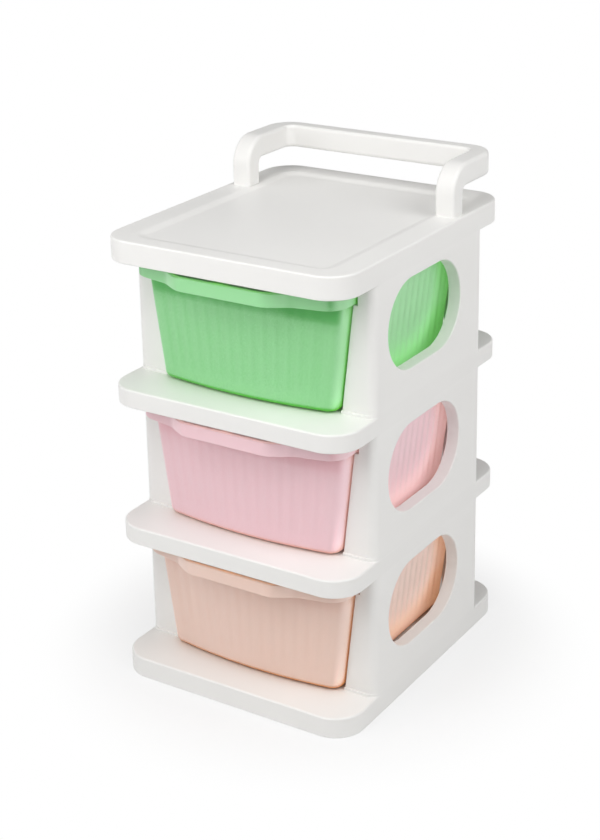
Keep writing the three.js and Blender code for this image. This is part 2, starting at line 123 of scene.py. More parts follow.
def neighbours(corners: Sequence[Corner], k: int) -> tuple[Vector, Vector, Vector]:
    """The places of a corner's neighbour before it, of the corner and of its neighbour after it."""
    return corners[k - 1].point, corners[k].point, corners[(k + 1) % len(corners)].point


def rounded(corners: Sequence[Corner]) -> list[Vector]:
    """Points of an outline whose corners are rounded with arcs.

    Args:
        corners: The outline's corners in order; one of no radius stays sharp.

    Returns:
        The outline's points.
    """
    points: list[Vector] = []
    for k, corner in enumerate(corners):
        last, here, following = neighbours(corners, k)
        if corner.radius <= 0:
            points.append(here)
            continue
        before = last - here
        after = following - here
        room = min(before.length, after.length) / 2
        before.normalize()
        after.normalize()
        half = math.acos(max(-1.0, min(1.0, before.dot(after)))) / 2
        reach = min(corner.radius / math.tan(half), room)
        arc = reach * math.tan(half)
        centre = here + (before + after).normalized() * (arc / math.sin(half))
        start = here + before * reach - centre
        end = here + after * reach - centre
        turn = math.atan2(start.x * end.y - start.y * end.x, start.dot(end))
        for step in range(corner.steps + 1):
            points.append(centre + Matrix.Rotation(turn * step / corner.steps, 2) @ start)
    return points


def inset(corners: Sequence[Corner], distance: float) -> list[Corner]:
    """Corners moved inwards, for an outline that runs anticlockwise.

    Args:
        corners: The outline's corners.
        distance: How far each side moves inwards.

    Returns:
        The moved corners, with their radii made smaller or larger to match.
    """
    moved: list[Corner] = []
    for k, corner in enumerate(corners):
        last, here, following = neighbours(corners, k)
        into = (here - last).normalized()
        out = (following - here).normalized()
        normal = Vector((-into.y - out.y, into.x + out.x)).normalized()
        stretch = distance / max(normal.dot(Vector((-into.y, into.x))), LEAST_COSINE)
        bend = -1 if into.x * out.y - into.y * out.x > 0 else 1
        place = here + normal * stretch
        radius = 0.0 if corner.radius <= 0 else max(corner.radius + bend * distance, LEAST_RADIUS)
        moved.append(replace(corner, x=place.x, y=place.y, radius=radius))
    return moved


def rectangle(left: float, front: float, right: float, rear: float, radius: float = 0.0,
              steps: int = 10) -> list[Corner]:
    """Corners of an upright rectangle, anticlockwise, all of one radius."""
    places = ((right, rear), (left, rear), (left, front), (right, front))
    return [Corner(x, y, radius, steps) for x, y in places]


def turned(steps: int, first: int = 0, sweep: float = QUARTER) -> Iterable[Pair]:
    """Sine and cosine at even steps of a quarter turn, or of another sweep."""
    for step in range(first, steps + 1):
        angle = sweep * step / max(steps, 1)
        yield math.sin(angle), math.cos(angle)


def new_object(name: str, data: bpy.types.ID) -> Object:
    """A new object of given data, in the scene."""
    obj = bpy.data.objects.new(name, data)
    bpy.context.scene.collection.objects.link(obj)
    return obj


def mesh_object(name: str, rings: Sequence[Ring]) -> Object:
    """A closed solid through a stack of rings that have equal numbers of points.

    Args:
        name: The object's name.
        rings: Rings of points, each facing the next; the first and last are capped.

    Returns:
        The new object, with its faces turned outwards.
    """
    bm = bmesh.new()
    rows = [[bm.verts.new(point) for point in ring] for ring in rings]
    count = len(rings[0])
    for low, high in zip(rows, rows[1:]):
        for k in range(count):
            after = (k + 1) % count
            bm.faces.new((low[k], low[after], high[after], high[k]))
    bm.faces.new(list(reversed(rows[0])))
    bm.faces.new(rows[-1])
    bmesh.ops.recalc_face_normals(bm, faces=bm.faces)
    mesh = bpy.data.meshes.new(name)
    bm.to_mesh(mesh)
    bm.free()
    return new_object(name, mesh)


def upright(corners: Sequence[Corner], z: float) -> Ring:
    """A level ring of a rounded outline at a height."""
    return [Vector((p.x, p.y, z)) for p in rounded(corners)]


class Solid:
    """A closed body under construction, joined and cut with manifold booleans."""

    BOX_STEPS = 4

    def __init__(self, obj: Object) -> None:
        """Takes over an object that already has a closed mesh."""
        self.obj = obj

    @classmethod
    def from_rings(cls, rings: Sequence[Ring]) -> "Solid":
        """A body through a stack of rings."""
        return cls(mesh_object("body", rings))

    @classmethod
    def between(cls, corners: Sequence[Corner], low: float, high: float, foot: float = 0.0,
                top: float = 0.0, steps: int = 6) -> "Solid":
        """An upright body whose foot and top edges may be rounded.

        Args:
            corners: The plan outline.
            low: Height of the foot.
            high: Height of the top.
            foot: Radius of the foot edge, or 0.
            top: Radius of the top edge, or 0.
            steps: Facets of each rounded edge.

        Returns:
            The body.
        """
        def level(inwards: float, z: float) -> Ring:
            """The outline moved inwards, at a height."""
            return upright(inset(corners, inwards), z)

        rings = [level(foot * (1 - s), low + foot * (1 - c)) for s, c in turned(steps if foot else 0)]
        rings += [level(top * (1 - c), high - top * (1 - s)) for s, c in turned(steps if top else 0)]
        return cls.from_rings(rings)

    @classmethod
    def box(cls, low: Sequence[float], high: Sequence[float], radius: float = 0.0) -> "Solid":
        """A box between two corners, with its upright and top edges rounded if a radius is given."""
        corners = rectangle(low[0], low[1], high[0], high[1], radius, cls.BOX_STEPS)
        return cls.between(corners, low[2], high[2], top=radius, steps=cls.BOX_STEPS)

    def combined(self, other: "Solid", operation: str) -> "Solid":
        """Joins or cuts this body with another, which is used up.

        Args:
            other: The other body.
            operation: UNION, DIFFERENCE or INTERSECT.

        Returns:
            This body.
        """
        modifier = self.obj.modifiers.new("combine", "BOOLEAN")
        modifier.operation = operation
        modifier.solver = "MANIFOLD"
        modifier.object = other.obj
        self.bake()
        other.discard()
        return self

    def add(self, *others: "Solid") -> "Solid":
        """Joins other bodies to this one."""
        for other in others:
            self.combined(other, "UNION")
        return self

    def cut(self, *others: "Solid") -> "Solid":
        """Cuts other bodies out of this one."""
        for other in others:
            self.combined(other, "DIFFERENCE")
        return self

    def keep(self, other: "Solid") -> "Solid":
        """Keeps only what lies inside another body."""
        return self.combined(other, "INTERSECT")

    def with_mirror(self) -> "Solid":
        """This body together with its mirror image on the cabinet's other side."""
        return self.add(self.mirror_copy())

    def mirror_copy(self) -> "Solid":
        """A mirror image of this body across the cabinet's middle."""
        bm = bmesh.new()
        bm.from_mesh(self.obj.data)
        bmesh.ops.scale(bm, vec=(-1, 1, 1), verts=bm.verts)
        bmesh.ops.recalc_face_normals(bm, faces=bm.faces)
        mesh = bpy.data.meshes.new("mirror")
        bm.to_mesh(mesh)
        bm.free()
        return Solid(new_object("mirror", mesh))

    def bake(self) -> None:
        """Turns the object with its modifiers into a plain mesh."""
        graph = bpy.context.evaluated_depsgraph_get()
        baked = bpy.data.meshes.new_from_object(self.obj.evaluated_get(graph), depsgraph=graph)
        self.obj.modifiers.clear()
        old = self.obj.data
        self.obj.data = baked
        bpy.data.meshes.remove(old)

    def discard(self) -> None:
        """Removes the object and its mesh."""
        mesh = self.obj.data
        bpy.data.objects.remove(self.obj)
        bpy.data.meshes.remove(mesh)


@dataclass(frozen=True)
class Cloud:
    """A noise: its cells to the metre, its detail and the limits between which it takes effect."""

    cells: float
    detail: float
    limits: Pair = (0.0, 1.0)


class Graph:
    """A node tree under construction."""

    def __init__(self, tree: bpy.types.NodeTree) -> None:
        """Takes over a tree."""
        self.nodes = tree.nodes
        self.links = tree.links

    def feed(self, node: Node, inputs: Inputs) -> None:
        """Gives a node's inputs what they take: a socket, which is linked, or a constant."""
        for key, value in inputs.items():
            if isinstance(value, Socket):
                self.links.new(value, node.inputs[key])
            else:
                node.inputs[key].default_value = value

    def node(self, kind: str, inputs: Inputs | None = None, **settings: str | int) -> Node:
        """Adds a node.

        Args:
            kind: Its type.
            inputs: What its inputs take, by name or number.
            **settings: Its own properties.

        Returns:
            The node.
        """
        made = self.nodes.new(kind)
        for name, value in settings.items():
            setattr(made, name, value)
        self.feed(made, inputs or {})
        return made

    def socket(self, kind: str, output: str, inputs: Inputs | None = None, **settings: str | int) -> Socket:
        """Adds a node as node() does, and gives one of its outputs."""
        return self.node(kind, inputs, **settings).outputs[output]

    def maths(self, operation: str, *values: Value) -> Socket:
        """The result of an operation on one or two values."""
        return self.socket("ShaderNodeMath", "Value", dict(enumerate(values)), operation=operation)

    def vector(self, operation: str, inputs: Inputs, output: str = "Vector") -> Socket:
        """The result of an operation on vectors."""
        return self.socket("ShaderNodeVectorMath", output, inputs, operation=operation)

    def between(self, value: Socket, limits: Pair, low: float = 0.0, high: float = 1.0,
                kind: str = "SMOOTHSTEP") -> Socket:
        """A value brought from between two limits to between a low and a high amount."""
        ends = {"From Min": limits[0], "From Max": limits[1], "To Min": low, "To Max": high}
        return self.socket("ShaderNodeMapRange", "Result", {"Value": value, **ends}, interpolation_type=kind)

    def mix(self, first: Value, second: Sequence[float], share: Socket) -> Socket:
        """A colour with a share of a second, fixed one."""
        inputs = {"A": first, "B": (*second, 1), "Factor": share}
        return self.socket("ShaderNodeMix", "Result", inputs, data_type="RGBA")

    def noise(self, place: Node, cloud: Cloud) -> Socket:
        """A noise on the object's own coordinates."""
        inputs = {"Vector": place.outputs["Object"], "Scale": cloud.cells, "Detail": cloud.detail}
        return self.socket("ShaderNodeTexNoise", "Fac", inputs)

    def openness(self, distance: float, **more: Value) -> Socket:
        """How open a place is within a distance, from 0 to 1."""
        inputs = {"Distance": distance, **more}
        return self.socket("ShaderNodeAmbientOcclusion", "AO", inputs, samples=4)

    def end(self, output: str, share: Socket, first: Socket, second: Socket) -> None:
        """Ends a tree with a first shader and a share of a second."""
        mixed = self.socket("ShaderNodeMixShader", "Shader", {"Fac": share, 1: first, 2: second})
        self.node(output, {"Surface": mixed})


@dataclass(frozen=True)
class Plastic:
    """Finish of one moulded plastic: its colour, gloss, the faint marks of moulding and use, and its painted
    light and shade.

    The glow strength sets a painted glow in hidden places, light painted on as if the thin walls
    carried it in, and the shade strength sets painted shade on the front below the lip. Each row of
    the glow stops is a stop of the painted glow's colour: how open the place is, then the shares of
    the gap colour, of the plain colour and of white.
    """

    name: str
    slot: str
    colour: Triple
    deep: Triple
    roughness: float
    subsurface: float
    # Colour of the painted glow, and of the painted shade in narrow gaps.
    painted_gap_colour: Triple
    # Strength of a painted glow in hidden places, which stands in for light carried through the walls.
    painted_glow: float
    # Strength of painted shade on the front below the lip.
    shade: float = 0.0
    grain: float = 0.02
    sheen: float = 0.04
    specular: float = 0.42
    depth: float = 2.5 * MM
    MOTTLE: ClassVar[Cloud] = Cloud(9.0, 3.0, (0.35, 0.75))
    MOTTLE_SHARE: ClassVar[float] = 0.16
    # Convex edges are painted paler: a painted edge highlight.
    EDGE_HIGHLIGHT: ClassVar[Pair] = (0.52, 0.62)
    EDGE_HIGHLIGHT_SHARE: ClassVar[float] = 0.25
    EDGE_HIGHLIGHT_PALENESS: ClassVar[Pair] = (1.08, 0.02)
    SMUDGE: ClassVar[Cloud] = Cloud(26.0, 5.0, (0.3, 0.7))
    SMUDGE_SPREAD: ClassVar[Pair] = (-0.05, 0.07)
    GRAIN: ClassVar[Cloud] = Cloud(1400.0, 2.0)
    GRAIN_DEPTH: ClassVar[float] = 0.2 * MM
    SINK: ClassVar[Cloud] = Cloud(22.0, 1.0)
    SINK_DEPTH: ClassVar[float] = 0.8 * MM
    SINK_STRENGTH: ClassVar[float] = 0.12
    # Stops of the painted glow's colour, by how open the place is.
    PAINTED_GLOW_STOPS: ClassVar[tuple[tuple[float, float, float, float], ...]] = (
        (0.05, 0.5, 0.0, 0.0), (0.13, 1.5, 0.0, 0.0), (0.21, 1.5, 0.3, 0.1), (0.32, 0.6, 1.0, 0.35),
        (0.48, 0.0, 0.85, 0.3), (0.70, 0.0, 0.3, 0.24), (0.92, 0.0, 0.0, 0.18))
    WINDOW_REACH: ClassVar[float] = 40 * MM
    GAP_REACH: ClassVar[float] = 10 * MM
    ROOF_REACH: ClassVar[float] = 24 * MM
    LIFT: ClassVar[Triple] = (0, 0, 2)
    SIDEWAYS: ClassVar[Pair] = (0.35, 0.8)
    OPEN_AIR: ClassVar[Pair] = (0.55, 0.9)
    UPWARDS: ClassVar[Pair] = (0.5, 0.9)
    SLIT: ClassVar[Pair] = (0.8, 0.4)
    SLIT_GAIN: ClassVar[float] = 1.3
    # Openness over which narrow gaps are painted towards the gap colour: painted shade.
    GAP: ClassVar[Pair] = (0.80, 0.42)
    # Openness from above over which the front below the lip is painted darker.
    ROOFED: ClassVar[Pair] = (0.67, 0.49)
    BEHIND_RIM: ClassVar[Pair] = (-100.5 * MM, -98.5 * MM)
    FORWARDS: ClassVar[Pair] = (-0.5, -0.85)

    def material(self) -> bpy.types.Material:
        """The node material of this finish, made once.

        Returns:
            The material.
        """
        made = bpy.data.materials.get(self.name)
        if made:
            return made
        made = bpy.data.materials.new(self.name)
        made.use_nodes = True
        made.diffuse_color = (*self.colour, 1)
        graph = Graph(made.node_tree)
        shader = graph.nodes["Principled BSDF"]
        place = graph.node("ShaderNodeTexCoord")

        mottled = graph.noise(place, self.MOTTLE)
        mottle = graph.between(mottled, self.MOTTLE.limits, high=self.MOTTLE_SHARE, kind="LINEAR")
        tinted = graph.mix((*self.colour, 1), self.deep, mottle)
        # Painted edge highlight: sharp convex edges are painted paler.
        pointed = graph.socket("ShaderNodeNewGeometry", "Pointiness")
        edge_highlight = graph.between(pointed, self.EDGE_HIGHLIGHT, high=self.EDGE_HIGHLIGHT_SHARE, kind="LINEAR")
        gain, lift = self.EDGE_HIGHLIGHT_PALENESS
        colour = graph.mix(tinted, [min(1.0, channel * gain + lift) for channel in self.colour], edge_highlight)
        # The coloured plastics get a painted glow and painted shade.
        if self.painted_glow > 0:
            colour = self._painted_light_and_shade(graph, place, shader, colour)

        smudged = graph.noise(place, self.SMUDGE)
        low, high = [self.roughness + spread for spread in self.SMUDGE_SPREAD]
        rough = graph.between(smudged, self.SMUDGE.limits, low, high, "LINEAR")
        skin = graph.socket("ShaderNodeBump", "Normal", {
            "Strength": self.grain, "Distance": self.GRAIN_DEPTH,
            "Height": graph.noise(place, self.GRAIN)})
        sunk = graph.socket("ShaderNodeBump", "Normal", {
            "Strength": self.SINK_STRENGTH, "Distance": self.SINK_DEPTH,
            "Height": graph.noise(place, self.SINK), "Normal": skin})
        graph.feed(shader, {
            "Base Color": colour, "Roughness": rough, "Normal": sunk,
            "Subsurface Weight": self.subsurface, "Subsurface Radius": self.colour,
            "Subsurface Scale": self.depth, "Sheen Weight": self.sheen,
            "Specular IOR Level": self.specular,
        })
        return made

    def _painted_light_and_shade(self, graph: Graph, place: Node, shader: Node, plain: Socket) -> Socket:
        """Painted light and shade: a painted glow, pale in the windows and saturated in narrow gaps,
        and painted shade in narrow gaps and below the lip.

        Args:
            graph: The material's tree.
            place: The texture coordinates.
            shader: The plastic's shader, which is given the painted glow as its emission.
            plain: The plain colour.

        Returns:
            The colour with painted shade in narrow gaps and below the lip.
        """
        facing = graph.node("ShaderNodeSeparateXYZ", {"Vector": place.outputs["Normal"]}).outputs
        where = graph.node("ShaderNodeSeparateXYZ", {"Vector": place.outputs["Object"]}).outputs
        close = graph.openness(self.GAP_REACH)
        # Painted glow on sideways walls in open windows, and on upward faces in narrow slits.
        sideways = graph.between(graph.maths("ABSOLUTE", facing["X"]), self.SIDEWAYS, high=self.painted_glow)
        walls = graph.maths("MULTIPLY", sideways, graph.between(close, self.OPEN_AIR))
        upwards = graph.between(facing["Z"], self.UPWARDS, high=self.SLIT_GAIN * self.painted_glow)
        slits = graph.maths("MULTIPLY", upwards, graph.between(close, self.SLIT))

        # The painted glow's colour follows how open the place is.
        painted_glow_ramp = graph.node("ShaderNodeValToRGB", {"Fac": graph.openness(self.WINDOW_REACH)})
        stops = painted_glow_ramp.color_ramp.elements
        while len(stops) < len(self.PAINTED_GLOW_STOPS):
            stops.new(0.5)
        for stop, (openness, rich, plastic, white) in zip(stops, self.PAINTED_GLOW_STOPS):
            stop.position = openness
            stop.color = (*[rich * g + plastic * c + white for g, c in zip(self.painted_gap_colour, self.colour)], 1)
        # The painted glow is given as emission, though the plastic is no lamp.
        graph.feed(shader, {
            "Emission Strength": graph.maths("ADD", walls, slits),
            "Emission Color": painted_glow_ramp.outputs["Color"],
        })

        # Painted shade: narrow gaps are painted towards a darker, saturated colour.
        gap = graph.mix(plain, self.painted_gap_colour, graph.between(close, self.GAP))
        # Painted shade below the lip: the front is painted towards its colour cubed where the view upwards
        # is blocked.
        lifted = graph.vector("ADD", {0: place.outputs["Normal"], 1: self.LIFT})
        roofed = graph.openness(self.ROOF_REACH, Normal=graph.vector("NORMALIZE", {0: lifted}))
        below = graph.between(roofed, self.ROOFED, high=self.shade)
        behind = graph.between(where["Y"], self.BEHIND_RIM)
        forwards = graph.between(facing["Y"], self.FORWARDS)
        share = graph.maths("MULTIPLY", below, graph.maths("MULTIPLY", behind, forwards))
        return graph.mix(gap, [channel ** 3 for channel in self.colour], share)


WHITE = Plastic(
    "moulded_white", "white_plastic", colour=(0.86, 0.852, 0.832), deep=(0.80, 0.79, 0.765),
    roughness=0.42, subsurface=0.05, painted_gap_colour=(0.82, 0.77, 0.72), painted_glow=0.0)
# The coloured plastics carry a painted glow and painted shade; the white carries neither.
GREEN = Plastic(
    "moulded_green", "green_plastic", colour=(0.343, 0.73, 0.36), deep=(0.20, 0.60, 0.18),
    roughness=0.38, subsurface=0.15, painted_gap_colour=(0.13, 0.68, 0.02), painted_glow=0.3, shade=0.8)
PINK = Plastic(
    "moulded_pink", "pink_plastic", colour=(0.884, 0.623, 0.665), deep=(0.78, 0.42, 0.45),
    roughness=0.38, subsurface=0.15, painted_gap_colour=(1.0, 0.55, 0.45), painted_glow=0.3, shade=0.3)
PEACH = Plastic(
    "moulded_peach", "peach_plastic", colour=(0.869, 0.658, 0.576), deep=(0.72, 0.42, 0.26),
    roughness=0.38, subsurface=0.15, painted_gap_colour=(0.80, 0.28, 0.03), painted_glow=0.3, shade=0.15)


def finish_piece(body: Solid, name: str, finish: Plastic, rides_on: str, *stands_for: str) -> Object:
    """Smooths, dresses and hands over a finished body.

    Args:
        body: The body.
        name: The piece's name.
        finish: Its plastic.
        rides_on: The CAD body that it moves with.
        *stands_for: The CAD nodes that it replaces.

    Returns:
        The piece.
    """
    obj = body.obj
    obj.name = name
    for polygon in obj.data.polygons:
        polygon.use_smooth = True
    obj.data.set_sharp_from_angle(angle=SHARP_ANGLE)
    modifier = obj.modifiers.new("even normals", "WEIGHTED_NORMAL")
    modifier.keep_sharp = True
    modifier.weight = NORMAL_WEIGHT
    body.bake()
    obj.data.name = name
    obj.data.materials.clear()
    obj.data.materials.append(finish.material())
    for polygon in obj.data.polygons:
        polygon.material_index = 0
    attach(obj, rides_on)
    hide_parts(*stands_for)
    LOG.info("%s: %d faces", name, len(obj.data.polygons))
    return obj


class ShapeTree:
    """Geometry Nodes tree with named inputs that ends in Realize Instances and Set Material."""

    def __init__(self, name: str, *amounts: str) -> None:
        """Starts the tree.

        Args:
            name: Its name.
            *amounts: The names of its inputs, besides the geometry and the material.
        """
        self.tree = bpy.data.node_groups.new(name, "GeometryNodeTree")
        kinds = {"Geometry": "NodeSocketGeometry"}
        kinds |= {amount: "NodeSocketFloat" for amount in amounts}
        kinds["Material"] = "NodeSocketMaterial"
        self.ids: dict[str, str] = {}
        for label, kind in kinds.items():
            entry = self.tree.interface.new_socket(label, in_out="INPUT", socket_type=kind)
            self.ids[label] = entry.identifier
        self.tree.interface.new_socket("Geometry", in_out="OUTPUT", socket_type="NodeSocketGeometry")
        self.graph = Graph(self.tree)
        self.entry = self.graph.node("NodeGroupInput").outputs

    def attribute(self, name: str, kind: str) -> Socket:
        """The output of a named attribute."""
        return self.graph.socket(
            "GeometryNodeInputNamedAttribute", "Attribute", {"Name": name}, data_type=kind)

    def leave(self, geometry: Socket) -> None:
        """Ends the tree with a geometry, made real and given the material."""
        real = self.graph.socket("GeometryNodeRealizeInstances", "Geometry", {"Geometry": geometry})
        painted = self.graph.socket("GeometryNodeSetMaterial", "Geometry", {
            "Geometry": real, "Material": self.entry["Material"]})
        self.graph.node("NodeGroupOutput", {"Geometry": painted})

    def apply(self, body: Solid, finish: Plastic, amounts: dict[str, float]) -> Solid:
        """Runs the tree on a body.

        Args:
            body: The body.
            finish: Its plastic.
            amounts: The value of each named input.

        Returns:
            The body, as the tree leaves it.
        """
        modifier = body.obj.modifiers.new(self.tree.name, "NODES")
        modifier.node_group = self.tree
        modifier[self.ids["Material"]] = finish.material()
        for label, amount in amounts.items():
            modifier[self.ids[label]] = amount
        body.bake()
        return body


class RibTree(ShapeTree):
    """Tree that stands a rib on each point, as wide, deep and high as the point says."""

    SIZE = "rib_size"

    def __init__(self) -> None:
        """Builds the tree."""
        super().__init__("stiffening_ribs", "Rib Scale")
        bar = self.graph.socket("GeometryNodeMeshCube", "Mesh", {"Size": (1, 1, 1)})
        size = self.graph.vector("SCALE", {
            0: self.attribute(self.SIZE, "FLOAT_VECTOR"), "Scale": self.entry["Rib Scale"]})
        self.leave(self.graph.socket("GeometryNodeInstanceOnPoints", "Instances", {
            "Points": self.entry["Geometry"], "Instance": bar, "Scale": size}))

    def ribs(self, boxes: Sequence[tuple[Vector, Vector]], finish: Plastic) -> Solid:
        """Ribs in given places.

        Args:
            boxes: The centre and the size of each rib.
            finish: Their plastic.

        Returns:
            The ribs as one body.
        """
        mesh = bpy.data.meshes.new("ribs")
        mesh.from_pydata([centre for centre, _ in boxes], [], [])
        sizes = mesh.attributes.new(self.SIZE, "FLOAT_VECTOR", "POINT")
        for item, (_, size) in zip(sizes.data, boxes):
            item.vector = size
        return self.apply(Solid(new_object("ribs", mesh)), finish, {"Rib Scale": 1.0})


class FluteTree(ShapeTree):
    """Tree that presses soft upright flutes into a drawer's walls."""

    ALONG = "wall_along"
    AMOUNT = "wall_amount"
    OUTWARDS = "wall_outwards"

    def __init__(self) -> None:
        """Builds the tree."""
        super().__init__("wall_flutes", "Pitch", "Depth")
        maths = self.graph.maths
        turns = maths("DIVIDE", self.attribute(self.ALONG, "FLOAT"), self.entry["Pitch"])
        wave = maths("COSINE", maths("MULTIPLY", turns, 2 * math.pi))
        pressed = maths("MULTIPLY", maths("SUBTRACT", wave, 1.0), 0.5)
        deep = maths("MULTIPLY", pressed, self.entry["Depth"])
        shown = maths("MULTIPLY", deep, self.attribute(self.AMOUNT, "FLOAT"))
        outwards = self.attribute(self.OUTWARDS, "FLOAT_VECTOR")
        shift = self.graph.vector("SCALE", {0: outwards, "Scale": shown})
        self.leave(self.graph.socket("GeometryNodeSetPosition", "Geometry", {
            "Geometry": self.entry["Geometry"], "Offset": shift}))


@dataclass
class Layout:
    """Sizes that the pieces share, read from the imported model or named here."""

    plate_radius: float = 23 * MM
    edge_radius: float = 1.5 * MM
    wall: float = 2.5 * MM
    plinth: float = 2 * MM
    plinth_step: float = 1.2 * MM
    panel_radius: float = 7 * MM
    panel_return: float = 10.4 * MM
    channel: float = 9.5 * MM
    tab_length: float = 12 * MM
    tab_inset: float = 14 * MM
    plan_steps: int = 16
    panel_steps: int = 12
    low: Vector = field(init=False)
    high: Vector = field(init=False)
    panel_front: float = field(init=False)
    panel_rear: float = field(init=False)

    def __post_init__(self) -> None:
        """Reads the places of the plates and panels."""
        self.low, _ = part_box("base")
        _, self.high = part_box("top_plate")
        panel_low, panel_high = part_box("bottom_panel_right")
        self.panel_front = panel_low.y
        self.panel_rear = panel_high.y

    @property
    def side(self) -> float:
        """Half the cabinet's width."""
        return self.high.x

    @property
    def tabs(self) -> tuple[float, float]:
        """Middles of the panels' tabs along the depth."""
        return self.panel_front + self.tab_inset, self.panel_rear - self.tab_inset

    def plan(self) -> list[Corner]:
        """Plan outline of a plate."""
        side = self.side
        return rectangle(-side, self.low.y, side, self.high.y, self.plate_radius, self.plan_steps)

    @staticmethod
    def plates_of(tier: Tier) -> tuple[str, str]:
        """Nodes of the plates below and above a tier."""
        levels = [level.value for level in Level]
        below = list(Tier).index(tier)
        return levels[below], levels[below + 1]

    def floor_of(self, tier: Tier) -> float:
        """Height of a tier's floor."""
        node, _ = self.plates_of(tier)
        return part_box(node)[1].z - self.plinth

    def roof_of(self, tier: Tier) -> float:
        """Height of the underside of the plate over a tier."""
        _, node = self.plates_of(tier)
        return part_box(node)[0].z


@dataclass
class Plate:
    """One of the four moulded plates, hollow and ribbed from below."""

    layout: Layout
    level: Level
    rib_tree: RibTree
    foot_radius: float = 1.0 * MM
    edge_steps: int = 8
    ceiling_radius: float = 0.6 * MM
    ceiling_steps: int = 3
    rib: float = 2 * MM
    rib_columns: int = 5
    rail_half_spacing: float = 50 * MM
    rail_width: float = 3 * MM
    rail_height: float = 0.8 * MM
    rail_margin: float = 8 * MM
    rail_edge: float = 0.4 * MM
    seat_front_inner: float = 73.75 * MM
    seat_rear_inner: float = 69 * MM
    seat_edge: float = 0.5 * MM
    flange: float = 2.8 * MM
    tray_depth: float = 1.8 * MM
    tray_slope: float = 9 * MM
    tray_ledges: Triple = (17.4 * MM, 12 * MM, 15.5 * MM)
    tray_radius: float = 14 * MM
    tray_steps: int = 10
    tray_corner_steps: int = 12
    overrun: float = 1 * MM
    outreach: float = 5 * MM

    @property
    def box(self) -> tuple[Vector, Vector]:
        """Corners of the plate's own node."""
        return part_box(self.level.value)

    @property
    def face(self) -> float:
        """Height of the plate's main top face."""
        return self.box[1].z - (0 if self.level is Level.TOP else self.layout.plinth)

    def footprint(self, step: float, low: float, high: float, top_radius: float = 0.0) -> Solid:
        """Footprint of the right panel on the plate, grown by a step but not past the side."""
        lay = self.layout
        outer = lay.side + step + self.outreach
        inner = lay.side - lay.wall - lay.channel - step
        corners = rectangle(inner, lay.panel_front - step, outer, lay.panel_rear + step, step / 2)
        body = Solid.between(corners, low, high, top=top_radius, steps=Solid.BOX_STEPS)
        return body.keep(Solid.between(self.limit(), low - MM, high + MM))

    def limit(self) -> list[Corner]:
        """Outline just outside the panel's own rounded corner, which the footprint keeps to."""
        lay = self.layout
        side = lay.side
        step = lay.plinth_step
        radius = lay.panel_radius + step
        return [
            Corner(side, lay.panel_rear + step, radius, lay.panel_steps),
            Corner(0, lay.panel_rear + step),
            Corner(0, lay.panel_front - step),
            Corner(side, lay.panel_front - step, radius, lay.panel_steps),
        ]

    def slab(self) -> Solid:
        """The plate's outer form, square only where panels meet it."""
        lay = self.layout
        low, face = self.box[0].z, self.face
        middle = (low + face) / 2
        body = Solid.between(lay.plan(), low, face, self.foot_radius, lay.edge_radius, self.edge_steps)
        fill_low = middle if self.level is Level.BASE else low
        fill_high = middle if self.level is Level.TOP else face
        fill = self.footprint(0, fill_low, fill_high)
        return body.add(fill.with_mirror())

    def hollow(self, ceiling: float) -> Solid:
        """The space inside the perimeter wall, open below."""
        corners = inset(self.layout.plan(), self.layout.wall)
        foot = self.box[0].z - self.overrun
        return Solid.between(corners, foot, ceiling, top=self.ceiling_radius, steps=self.ceiling_steps)

    def rib_boxes(self, ceiling: float) -> list[tuple[Vector, Vector]]:
        """Centres and sizes of the ribs under the plate."""
        lay = self.layout
        low = self.box[0].z
        tall = ceiling - low + self.overrun
        mid = low + tall / 2
        inner = lay.side - lay.wall - lay.channel - self.rib / 2
        length = lay.high.y - lay.low.y - lay.wall
        width = 2 * lay.side - lay.wall
        boxes: list[tuple[Vector, Vector]] = []
        for k in range(self.rib_columns):
            x = -inner + 2 * inner * k / (self.rib_columns - 1)
            boxes.append((Vector((x, 0, mid)), Vector((self.rib, length, tall))))
        reach = lay.tab_length / 2 + self.rib / 2 + CLEARANCE
        front, rear = lay.tabs
        for y in (front - reach, front + reach, 0.0, rear - reach, rear + reach):
            boxes.append((Vector((0, y, mid)), Vector((width, self.rib, tall))))
        return boxes

    def seat(self, body: Solid) -> Solid:
        """Adds the plinths and rails of the tier that the plate carries."""
        lay = self.layout
        face, top = self.face, self.box[1].z
        under = face - lay.wall / 2
        edge = lay.side - lay.panel_radius
        step = lay.plinth_step
        front = Solid.box(
            (self.seat_front_inner, lay.panel_front - step, under),
            (edge, lay.panel_front + self.flange + step, top), self.seat_edge)
        rear = Solid.box(
            (self.seat_rear_inner, lay.panel_rear - self.flange + step / 2, under),
            (edge, lay.panel_rear + step, top), self.seat_edge)
        plinth = self.footprint(step, under, top, self.seat_edge).add(front, rear)
        body.add(plinth.with_mirror())
        near = self.rail_half_spacing - self.rail_width / 2
        rail = Solid.box(
            (near, lay.panel_front + self.rail_margin, under),
            (near + self.rail_width, lay.panel_rear - self.rail_margin, face + self.rail_height),
            self.rail_edge)
        return body.add(rail.with_mirror())

    def slots(self, low: float, high: float) -> list[Solid]:
        """Cutters for the slots that take the panels' tabs."""
        lay = self.layout
        outer = lay.side - lay.wall
        inner = outer - lay.channel
        reach = lay.tab_length / 2 + CLEARANCE
        return [
            Solid.box((inner, middle - reach, low), (outer, middle + reach, high)).with_mirror()
            for middle in lay.tabs
        ]

